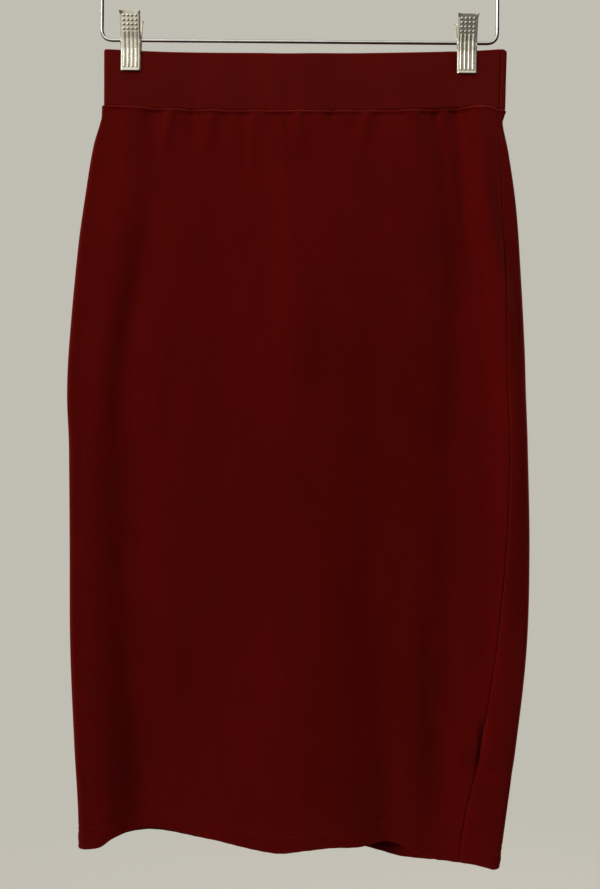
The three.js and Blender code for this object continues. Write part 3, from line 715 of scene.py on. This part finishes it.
def makePanel(name, side, replaced):
    u = seamToSeam(cloth["flap"], cloth["face"], 6, 168, 0.22, 8, 10)
    fall = panelRows()[None, :]
    outer, inner, normals = panelSkins(side, u, fall)
    uv = clothUv(outer).reshape(-1, 2)
    up = (1 - fall) * cloth["length"] + 0 * u
    toSeam = seamDistance(u, cloth["flap"], cloth["face"]) + 0 * fall
    worn = np.maximum(bell(up, 2.5), 0.6 * bell(toSeam - 2.6, 1.4)).ravel()
    points, faces = shell(outer * mm, inner * mm)
    return addPiece(name, points, faces, bodyJersey, replaced, np.tile(uv, (2, 1)), np.tile(worn, 2))


def capsules(paths, normals, radius):
    # Stitches: each path of points is a round thread, sunk at both ends. paths is stitches x steps x 3.
    sides = 6
    steps = paths.shape[1]
    heading = unit(np.gradient(paths, axis=1))
    aside = unit(np.cross(heading, normals))
    up = np.cross(aside, heading)
    angle = np.linspace(0, 2 * math.pi, sides, endpoint=False)
    share = np.sin(np.linspace(0.12, math.pi - 0.12, steps)) ** 0.35
    ring = (np.cos(angle)[:, None] * aside[:, :, None] + np.sin(angle)[:, None] * up[:, :, None])
    points = paths[:, :, None] + radius * share[None, :, None, None] * ring
    count = len(paths)
    index = np.arange(count * steps * sides).reshape(count, steps, sides)
    here, turned = index, np.roll(index, -1, axis=2)
    wall = np.stack([here[:, :-1], turned[:, :-1], turned[:, 1:], here[:, 1:]], -1).reshape(-1, 4)
    ends = []
    for end in (index[:, 0], index[:, -1][:, ::-1]):
        ends.append(end[:, [0, 3, 2, 1]])
        ends.append(end[:, [0, 5, 4, 3]])
    uv = np.stack(np.broadcast_arrays(angle[None, None] / (2 * math.pi),
                                      np.linspace(0, hem["stitch"], steps)[None, :, None] * mm), -1)
    uv = np.broadcast_to(uv, (count, steps, sides, 2))
    return points.reshape(-1, 3), np.concatenate([wall, *ends]), uv.reshape(-1, 2)


def makeHemStitches(name, side):
    # two rows of stitches across the face and round the fold, laid in their furrows
    pitch = hem["stitch"] + hem["gap"]
    u = np.concatenate([np.linspace(-1.9, -1, 24), np.linspace(-1, 0, 30), np.linspace(0, 0.995, 400)])
    rows = []
    for row, height in enumerate((hem["upperRow"], hem["lowerRow"])):
        fall = np.full_like(u, 1 - height / cloth["length"])
        outer, inner, normals = panelSkins(side, u[:, None], fall[:, None])
        line = outer[:, 0]
        length = runLength(line)
        starts = np.arange(1.2 + 0.5 * row, length[-1] - pitch, pitch)
        steps = np.linspace(0, hem["stitch"], 7)
        where = starts[:, None] + steps[None, :]
        at = np.interp(where, length, u)
        outer, inner, normals = panelSkins(side, at, np.full_like(at, fall[0]))
        lift = hem["threadRadius"] * (np.sin(math.pi * steps / hem["stitch"]) ** 0.5 * 1.7 - 0.9)
        path = outer + normals * lift[None, :, None]
        points, faces, uv = capsules(path, normals, hem["threadRadius"])
        rows.append((points, faces, uv))
    points, faces = joined([(points * mm, faces) for points, faces, uv in rows])
    uv = np.concatenate([uv for points, faces, uv in rows])
    return addPiece(name, points, faces, threadRed, uv=uv)


frontPanel = makePanel("frontPanelCloth", 1, "front_panel")
backPanel = makePanel("backPanelCloth", -1, "back_panel")
frontHemStitches = makeHemStitches("frontHemStitches", 1)
backHemStitches = makeHemStitches("backHemStitches", -1)
print("panels ready")


# Waistband
band = {
    "thickness": 2.9,
    "centre": 3.6,
    "halfWidth": 182.6,
    "fold": 1.9,
    "taper": 0.8,
    "seam": 5.4,
    "top": -209.4,
    "topSag": 5,
    "cornerDrop": 1.8,
    "cornerWidth": 5,
    "edgeRound": 1.45,
    "overlap": 0.5,  # how far the band's lower edge hangs over the skirt's top
    "depth": 50,
    "flap": 5,
    "face": 360,
}

# soft dents and ridges of the band: x, share of the way down, width across, width down, depth
bandDents = {
    "front": [(-128, 0.86, 2.2, 8, 0.35), (-119, 0.84, 2.4, 9, 0.4), (-108, 0.85, 2.2, 8, 0.35),
              (-97, 0.88, 2.4, 7, 0.3), (26, 0.55, 5, 4, 0.45), (33, 0.48, 5, 3, -0.4), (-62, 0.9, 3, 7, 0.3),
              (-30, 0.9, 3, 6, 0.3), (60, 0.9, 3, 7, 0.3), (92, 0.88, 3, 8, 0.35), (118, 0.86, 3.4, 9, 0.5),
              (171, 0.45, 1.8, 26, 0.35), (-152.5, 0.25, 12, 15, 0.7), (151.3, 0.25, 12, 15, 0.7),
              (-171, 0.4, 7, 20, -0.4), (133, 0.3, 5, 18, -0.4)],
    "back": [(-120, 0.86, 2.4, 8, -0.4), (-84, 0.85, 2.4, 9, -0.4), (-40, 0.88, 3, 7, -0.35),
             (10, 0.86, 3, 8, -0.4), (52, 0.9, 3, 7, -0.3), (96, 0.86, 3, 8, -0.4), (-12, 0.5, 6, 4, -0.45),
             (-152.5, 0.25, 12, 15, -0.7), (151.3, 0.25, 12, 15, -0.7), (132, 0.3, 6, 18, 0.4)],
}


def bandTopLine(x):
    # the upper edge sags as a parabola, drops at the right corner and waves a little
    right = band["centre"] + band["halfWidth"]
    sag = band["topSag"] * np.maximum(0, 1 - ((x - band["centre"]) / band["halfWidth"]) ** 2)
    corner = band["cornerDrop"] * smoothStep(x, right - band["cornerWidth"], right)
    return band["top"] - sag - corner + 0.12 * np.sin(x / 13 + 1.3 * np.sin(x / 29))


def bandMiddle(side, u, fall):
    # As skirtMiddle: the layers lie on a spine and swell off it, and the height runs straight from the upper edge
    # to the waist seam.
    middle = band["centre"] - band["taper"] * fall
    half = band["halfWidth"] - band["taper"] * fall
    reach = half - band["thickness"] / 2 - band["fold"]
    turn, across = loopPlace(side, u, reach, half - band["seam"])
    frontShare = (1 + np.cos(turn)) / 2
    spine = middle + across * reach
    x = spine + band["fold"] * np.sin(turn)
    y = -np.cos(turn) * (band["fold"] + swelling(middle, sections["open"][0], sections["swell"][0], spine))
    for layer, share in (("front", frontShare), ("back", 1 - frontShare)):
        for place, at, width, tall, depth in bandDents[layer]:
            y = y + share * depth * bell(spine - place, width) * bell((fall - at) * band["depth"], tall)
    foot = waistLine(x) - waistDip(x) - band["overlap"]
    return np.stack(np.broadcast_arrays(x, y, bandTopLine(x) * (1 - fall) + foot * fall), -1)


def makeBandHalf(name, side, replaced):
    # The middle surface moved out and in by half the thickness, less at the round edges, and sunk at the seams.
    u = seamToSeam(band["flap"], band["face"], 4, 190, 0.2, 6, 10)
    depth = band["depth"]
    tip = np.array([0, 0.06, 0.2, 0.42, 0.7, 1.05, 1.45, 2.1, 3])
    fall = np.concatenate([tip, np.linspace(4, depth - 4, 36), depth - tip[::-1]])[None, :] / depth
    points, normals = surface(bandMiddle, side, u, fall)
    down = fall * depth + 0 * u
    toSeam = seamDistance(u, band["flap"], band["face"]) + 0 * fall
    edge = rounded(np.minimum(down, depth - down), band["edgeRound"])
    share = edge * rounded(toSeam, 1.5)
    sink = 0.4 * bell(toSeam, 1.2) - 0.1 * bell(toSeam - 3.4, 1.8)
    ripple = 0.1 * np.sin(points[..., 0] / 1.9 + 2 * np.sin(points[..., 0] / 23)) * smoothStep(down, 30, 47)
    move = -(sink + ripple)
    half = band["thickness"] / 2
    outer = points + normals * (move + half * share)[..., None]
    inner = points + normals * (move - half * share)[..., None]
    uv = clothUv(outer).reshape(-1, 2)
    worn = np.maximum(bell(down, 2), 0.5 * bell(toSeam - 2.4, 1.3)).ravel()
    points, faces = shell(outer * mm, inner * mm)
    return addPiece(name, points, faces, bandJersey, replaced, np.tile(uv, (2, 1)), np.tile(worn, 2))


bandFront = makeBandHalf("waistbandFrontCloth", 1, "waistband_front")
bandBack = makeBandHalf("waistbandBackCloth", -1, "waistband_back")
print("waistband ready")


# Hanger
hanger = {
    "wire": 1.6,
    "hookInside": 19,
    "barDrop": 202.2,
    "halfWidth": 179.2,
    "tilt": math.radians(0.5),
    "corner": 8,
    "shoulder": 20,
    "sideTop": 40,
    "neck": -86,
    "turns": 3,
    "wrapPitch": 3.5,  # from turn to turn, and the turns' radius
    "step": 1.4,  # between rings along the wire
}
clipPlaces = {"left": -152.5, "right": 151.3}


def tilted(points):
    # turned in the hanger's plane, so that the right end of the bar is lower
    cosine, sine = math.cos(hanger["tilt"]), math.sin(hanger["tilt"])
    x, y, z = points[..., 0], points[..., 1], points[..., 2]
    return np.stack([x * cosine + z * sine, y, z * cosine - x * sine], -1)


def arc(x, z, radius, start, end, steps):
    # points of a circle in the hanger's plane, from one angle in degrees to another
    angle = np.radians(np.linspace(start, end, steps))
    return np.stack([x + radius * np.cos(angle), 0 * angle, z + radius * np.sin(angle)], -1)


def evened(points, step, passes):
    # the same path at an even step, its kinks eased by averaging neighbours
    for k in range(2):
        length = runLength(points)
        places = np.linspace(0, length[-1], int(length[-1] / step) + 1)
        points = np.stack([np.interp(places, length, points[:, axis]) for axis in range(3)], -1)
        for turn in range(passes):
            points[1:-1] = (points[:-2] + 2 * points[1:-1] + points[2:]) / 4
    return points


def sweep(points, radius, sides, reference):
    # A round wire: rings square to the path, held level by a reference direction. Both ends are rounded.
    heading = unit(np.gradient(points, axis=0))
    aside = unit(np.cross(heading, reference))
    up = np.cross(aside, heading)
    length = runLength(points)
    size = radius * rounded(np.minimum(length, length[-1] - length), radius)
    angle = np.linspace(0, 2 * math.pi, sides, endpoint=False)[None, :, None]
    rings = points[:, None] + size[:, None, None] * (np.cos(angle) * aside[:, None] + np.sin(angle) * up[:, None])
    index = np.arange(len(points) * sides).reshape(len(points), sides)
    turned = np.roll(index, -1, axis=1)
    wall = np.stack([index[:-1], turned[:-1], turned[1:], index[1:]], -1).reshape(-1, 4)
    tips = np.array([points[0], points[-1]])
    first = index.size
    ends = [np.stack([index[0], index[0], turned[0], np.full(sides, first)], -1)[:, 1:],
            np.stack([turned[-1], index[-1], np.full(sides, first + 1)], -1)]
    caps = np.concatenate([np.concatenate([end, end[:, 2:]], 1) for end in ends])
    return np.concatenate([rings.reshape(-1, 3), tips]), np.concatenate([wall, caps])


def roundEnds(points, radius):
    # extra points close together at both ends, so that the round tips are smooth
    near = radius * (1 - np.cos(np.linspace(0, math.pi / 2, 7)))[:-1, None]
    first = points[0] + near * unit(points[1] - points[0])
    last = points[-1] + near * unit(points[-2] - points[-1])
    return np.concatenate([first, points[2:-2], last[::-1]])


def framePath():
    # from the neck down the right shoulder, along the bar, up the left shoulder and three times round the neck
    bar = -hanger["barDrop"]
    bend = bar + hanger["sideTop"]
    inset = hanger["halfWidth"] - hanger["shoulder"]
    slope = math.degrees(math.atan2(hanger["neck"] - bend - hanger["shoulder"], inset))
    wrap = hanger["wrapPitch"]
    edge = hanger["halfWidth"] - hanger["corner"]
    low = bar + hanger["corner"]
    plane = np.concatenate([
        [[0, 0, hanger["neck"]]],
        arc(inset, bend, hanger["shoulder"], 90 - slope, 0, 24),
        arc(edge, low, hanger["corner"], 0, -90, 16),
        arc(-edge, low, hanger["corner"], -90, -180, 16),
        arc(-inset, bend, hanger["shoulder"], 180, 90 + slope, 24),
    ])
    angle = math.pi + np.linspace(0, 2 * math.pi * hanger["turns"], 24 * hanger["turns"])
    height = hanger["neck"] + wrap + wrap * (angle - math.pi) / (2 * math.pi)
    coil = np.stack([wrap * np.cos(angle), wrap * np.sin(angle), height], -1)
    return evened(np.concatenate([plane, coil]), hanger["step"], 2)


def makeWires():
    path = framePath()
    # the reference turns from the hanger's normal to upright along the left shoulder, before the wire winds
    length = runLength(path)
    wound = 2 * math.pi * hanger["turns"] * hanger["wrapPitch"]
    share = smoothStep(length, length[-1] - wound - 90, length[-1] - wound - 20)[:, None]
    reference = unit((1 - share) * np.array([0, 1.0, 0]) + share * np.array([0, 0, 1.0]))
    radius = hanger["wire"]
    shaped = roundEnds(path, radius)
    reference = np.concatenate([np.repeat(reference[:1], 4, 0), reference, np.repeat(reference[-1:], 4, 0)])
    points, faces = sweep(tilted(shaped), radius, 14, reference)
    addPiece("hangerWire", points * mm, faces, chrome, "hanger_frame")
    curve = hanger["hookInside"] + radius
    stemTop = -hanger["hookInside"] - 2.4 * curve
    bendTable = np.array([[0, 0], [0.06, 0.35], [0.32, 0.85], [0.62, 1.3]]) * curve
    stem = np.stack([bendTable[:, 0], 0 * bendTable[:, 0], stemTop + bendTable[:, 1]], -1)
    hook = np.concatenate([[[0, 0, hanger["neck"] + 2 * radius]], stem,
                           arc(0, -hanger["hookInside"], curve, -36, 200, 60)])
    hook = roundEnds(evened(hook, hanger["step"], 9), radius)
    points, faces = sweep(tilted(hook), radius, 14, np.tile([0, 1.0, 0], (len(hook), 1)))
    addPiece("hookWire", points * mm, faces, chrome, "hanger_hook")


makeWires()
print("hanger ready")


# Clips
clip = {
    "width": 18,
    "sheet": 0.8,
    "up": 22.3,
    "down": 28.6,
    "splay": 11,
    "atBar": 5,
    "jawStart": 9,
    "jaw": band["fold"] + band["thickness"] / 2 + 0.7,
    "edgeRadius": 1.1,
    "flange": 1.5,
    "ribPitch": 3.66,
    "ribs": 4,
    "ribHeight": 0.55,
    "ribWidth": 0.8,
    "ribTop": 4.8,
    "ribEnd": -26,
    "dotRows": 4,
    "dotPitch": 3.55,
    "dotTop": 18.4,
    "dotHeight": 0.5,
    "dotWide": 1.15,  # half the width of a dot
    "dotTall": 1.0,  # and half its height on the leaf
    "earTop": 8,
    "earFoot": 7,
    "earRim": 1.6,
    "bore": 1.9,
    "springWire": 0.55,
    "springTurns": 2.5,
    "springHalf": 2.2,
    "legHeight": 15,
}


def leafDistance(height):
    # two straight stretches, splayed above the bar and closing on the cloth below, with eased corners
    lean = clip["atBar"] + (clip["splay"] - clip["atBar"]) * height / clip["up"]
    close = clip["atBar"] + (clip["atBar"] - clip["jaw"]) * height / clip["jawStart"]
    upper = np.where(height > 0, lean, close)
    return np.where(height < -clip["jawStart"], clip["jaw"], upper)


def leafRelief(x, height):
    # raised ribs with round ends below, rows of raised dots on the handle, a pressed line and a lip at the foot
    ribs = 0
    for k in range(clip["ribs"]):
        centre = (k - (clip["ribs"] - 1) / 2) * clip["ribPitch"]
        beyond = np.maximum(0, np.maximum(height - clip["ribTop"], clip["ribEnd"] + 1 - height))
        ribs = ribs + np.clip(1 - ((x - centre) / clip["ribWidth"]) ** 2 - (beyond / 0.9) ** 2, 0, 1) ** 0.6
    dots = 0
    for row in range(clip["dotRows"]):
        for k in range(clip["ribs"]):
            centre = (k - (clip["ribs"] - 1) / 2) * clip["ribPitch"]
            level = clip["dotTop"] - row * clip["dotPitch"]
            oval = ((x - centre) / clip["dotWide"]) ** 2 + ((height - level) / clip["dotTall"]) ** 2
            dots = dots + np.clip(1 - oval, 0, 1) ** 0.5
    lip = 0.55 * smoothStep(-height, clip["down"] - 1.8, clip["down"] - 0.6)
    return clip["ribHeight"] * ribs + clip["dotHeight"] * dots + lip


def leafSheet():
    # The sheet runs across the face, round each edge and back along a short flange.
    half = clip["width"] / 2
    radius = clip["edgeRadius"]
    turn = np.linspace(0, math.pi / 2, 7)
    flat = np.linspace(-(half - radius), half - radius, 61)
    right = np.concatenate([half - radius + radius * np.sin(turn[1:]), [half, half]])
    depth = np.concatenate([radius * (1 - np.cos(turn[1:])), [radius + clip["flange"] * 0.5,
                                                              radius + clip["flange"]]])
    x = np.concatenate([-right[::-1], flat, right])
    back = np.concatenate([depth[::-1], 0 * flat, depth])
    normalX = np.concatenate([-np.ones(2), -np.sin(turn[:0:-1]), 0 * flat, np.sin(turn[1:]), np.ones(2)])
    heights = np.concatenate([np.linspace(clip["up"], clip["ribTop"] + 1.5, 74),
                              np.linspace(clip["ribTop"] + 1.2, clip["ribTop"] - 1, 9),
                              np.linspace(clip["ribTop"] - 2, clip["ribEnd"] + 2, 26),
                              np.linspace(clip["ribEnd"] + 1.6, -clip["down"], 22)])
    column, height = np.meshgrid(x, heights, indexing="ij")
    shut = back[:, None] + 0 * height
    tall = smoothStep(height, clip["up"] - 3.2, clip["up"])
    flare = 0.55 * tall * (np.abs(column) / half) ** 3 * np.sign(column)
    curl = -1.6 * tall * (np.abs(column) / half) ** 6
    relief = leafRelief(column, height) * (np.abs(column) < half - radius)
    y = -leafDistance(height) + shut * (1 - 0.5 * tall) + curl - relief
    crossed = normalX[:, None] + 0 * height
    ahead = 0.5 * clip["sheet"] * np.sqrt(np.maximum(0, 1 - crossed ** 2))
    outer = np.stack([column + flare, y - ahead, height], -1)
    inner = np.stack([column + flare - crossed * clip["sheet"], y + relief + ahead, height], -1)
    return shell(outer, inner)


def leafEar(x):
    # A plate round the bar, in polar form: from the bore out to an outline that widens to meet the leaf.
    angle = np.linspace(0, 2 * math.pi, 49)
    radius = np.linspace(0, 1, 5)
    ahead, above = np.cos(angle), np.sin(angle)
    rim = clip["bore"] + clip["earRim"]
    corner = np.where(above > 0, clip["earTop"], clip["earFoot"])
    toLeaf = clip["atBar"] / np.maximum(ahead, 1e-3)
    toCorner = corner / np.maximum(np.abs(above), 1e-3)
    outline = np.where(ahead > 0.02, np.minimum(toLeaf, toCorner * 0.98), rim)
    outline = np.maximum(rim, outline * (1 - 0.12 * smoothStep(np.abs(above), 0.5, 0.95)))
    outline = np.convolve(np.concatenate([outline[-4:-1], outline, outline[1:4]]), np.ones(3) / 3, "same")[3:-3]
    outline[-1] = outline[0]
    reach = clip["bore"] + (outline[:, None] - clip["bore"]) * radius[None, :]
    y = -reach * ahead[:, None]
    z = reach * above[:, None]
    outer = np.stack([x + clip["sheet"] / 2 + 0 * y, y, z], -1)
    inner = np.stack([x - clip["sheet"] / 2 + 0 * y, y, z], -1)
    return shell(outer, inner)


def turnedRound(points, faces):
    # half a turn about the upright axis
    return points * np.array([-1, -1, 1]), faces


def makeClip(name, place):
    # Two leaves that face each other round the bar, and a spring wound on it whose legs press the handles apart.
    home = np.array([place, 0, -hanger["barDrop"]])
    for layer, inset in (("front", 0), ("rear", clip["sheet"] + 0.3)):
        ear = clip["width"] / 2 - clip["sheet"] / 2 - inset
        parts = [leafSheet(), leafEar(-ear), leafEar(ear)]
        parts = [(points, facingOut(points, faces)) for points, faces in parts]
        if layer == "rear":
            parts = [turnedRound(points, faces) for points, faces in parts]
        points, faces = joined(parts)
        points = tilted(points + home) * mm
        addPiece(f"{name}Clip{layer.capitalize()}Leaf", points, faces, nickel,
                 f"clip_{name}_{layer}_leaf")
    radius = hanger["wire"] + 0.3 + clip["springWire"]
    angle = math.pi + np.linspace(0, 2 * math.pi * clip["springTurns"], 80)
    across = np.linspace(-clip["springHalf"], clip["springHalf"], 80)
    coil = np.stack([across, radius * np.cos(angle), radius * np.sin(angle)], -1)
    reach = leafDistance(np.array(clip["legHeight"])) - clip["sheet"] / 2 - clip["springWire"] - 0.6
    path = np.concatenate([[[-clip["springHalf"], -reach, clip["legHeight"]]], coil,
                           [[clip["springHalf"], reach, clip["legHeight"]]]])
    path = roundEnds(evened(path, 0.45, 3), clip["springWire"])
    points, faces = sweep(tilted(path + home), clip["springWire"], 10, np.tile([1.0, 0, 0], (len(path), 1)))
    addPiece(f"{name}ClipSpring", points * mm, faces, springSteel, f"clip_{name}_spring")


for clipName, clipPlace in clipPlaces.items():
    makeClip(clipName, clipPlace)
print("clips ready")


# Room
room = {
    "backdrop": (0.53, 0.51, 0.45),
    "shade": (0.02, 0.02, 0.018),  # the floor where metal mirrors it
    "bounce": (0.13, 0.125, 0.115),  # the floor where it lights the cloth
    "floorHeight": -1.5,
    "floorSize": 3,
    "fadeStart": 0.7,
    "fadeEnd": 1.7,
    "sky": 0.125,
    "mirrored": 0.95,  # the sky's strength where metal mirrors it
    "skyTones": [(0.34, (0.02, 0.02, 0.02)), (0.44, (0.04, 0.04, 0.036)), (0.52, (0.42, 0.40, 0.34)),
                 (0.60, (0.86, 0.83, 0.74)), (1.0, (1.0, 0.98, 0.93))],  # from below to above
}


def makeWorld():
    # The camera sees a plain backdrop. Everything else is lit by a soft room that is bright above and on the
    # left, and dark below and far to the right.
    world = bpy.data.worlds.new("studio")
    bpy.context.scene.world = world
    finish = Finish(world)
    aside, depth, height = finish.axes(finish.add("TexCoord", out=0))
    mirrored = finish.add("LightPath", out=3)
    behind = depth.sum("MAXIMUM", depth, 0.0) * (1 - depth) * 4  # dark edges for the wire
    level = 0.5 + height * 0.5 - aside * (1 - aside * aside) * 1.1 - aside * aside * 0.30 - behind * mirrored * 0.7
    ramp = finish.add("ValToRGB", {"stops": room["skyTones"]}, {0: level})
    strength = room["sky"] + mirrored * (room["mirrored"] - room["sky"])
    soft = finish.add("Background", None, {"Color": ramp, "Strength": strength})
    plain = finish.add("Background", None, {"Color": rgb(*room["backdrop"]), "Strength": 1.0})
    seen = finish.add("LightPath", out=0)
    finish.close(finish.add("MixShader", None, {0: seen, 1: soft, 2: plain}))


def makeFloor():
    # a pale floor that fades, for the camera, into the backdrop's colour away from the middle
    size = room["floorSize"]
    points = np.array([[-size, -size, 0], [size, -size, 0], [size, size, 0], [-size, size, 0]], float)
    points[:, 2] = room["floorHeight"]
    mesh = bpy.data.meshes.new("floor")
    mesh.from_pydata(points, [], [(0, 1, 2, 3)])
    finish = Finish(bpy.data.materials.new("floor"))
    aside, depth = finish.axes(finish.add("TexCoord", out=3))[:2]
    away = (aside * aside + depth * depth) ** 0.5
    fade = finish.add("MapRange", {"clamp": True}, {"Value": away, "From Min": room["fadeStart"],
                                                    "From Max": room["fadeEnd"]})
    seen = finish.add("LightPath", out=0)
    mirrored = finish.add("LightPath", out=3)
    unseen = finish.mix(mirrored, rgb(*room["bounce"]), rgb(*room["shade"]))
    tone = finish.mix(seen, unseen, rgb(*room["backdrop"]))
    pale = finish.add("BsdfDiffuse", None, {"Color": tone})
    plain = finish.add("Emission", None, {"Color": rgb(*room["backdrop"])})
    mesh.materials.append(finish.close(finish.add("MixShader", None, {0: fade * seen, 1: pale, 2: plain})))
    floor = bpy.data.objects.new("floor", mesh)
    bpy.context.scene.collection.objects.link(floor)


lamps = {
    "key": {"place": (-9.0, -5.9, 3.0), "size": 4.4, "power": 1080, "colour": (1, 0.985, 0.95)},
    "gleam": {"place": (-3.2, -2.6, 1.6), "size": 0.9, "power": 24, "colour": (1, 0.99, 0.95), "mirrored": True},
    "top": {"place": (-0.3, -0.5, 1.0), "size": 0.6, "power": 10, "colour": (1, 0.99, 0.96)},
    "fill": {"place": (3.2, -3.0, -0.6), "size": 2.0, "power": 24, "colour": (1, 0.99, 0.97)},
    "side": {"place": (3.4, -0.5, -0.3), "size": 0.8, "power": 34, "colour": (1, 0.98, 0.95)},
    "backKey": {"place": (5.2, 4.4, 1.8), "size": 3.0, "power": 520, "colour": (1, 0.985, 0.95)},
    "backFill": {"place": (-2.8, 3.2, 0.4), "size": 2.0, "power": 44, "colour": (1, 1, 1)},
}


def makeLamps():
    aim = Vector((0, 0, -0.5))
    for name, lamp in lamps.items():
        light = bpy.data.lights.new(name, "AREA")
        light.energy = lamp["power"]
        light.size = lamp["size"]
        light.color = lamp["colour"]
        holder = bpy.data.objects.new(name, light)
        holder.location = lamp["place"]
        holder.visible_glossy = lamp.get("mirrored", False)
        holder.rotation_euler = (aim - Vector(lamp["place"])).to_track_quat("-Z", "Y").to_euler()
        bpy.context.scene.collection.objects.link(holder)


makeWorld()
makeFloor()
makeLamps()
bpy.context.scene.view_settings.view_transform = "Standard"
print("room ready")
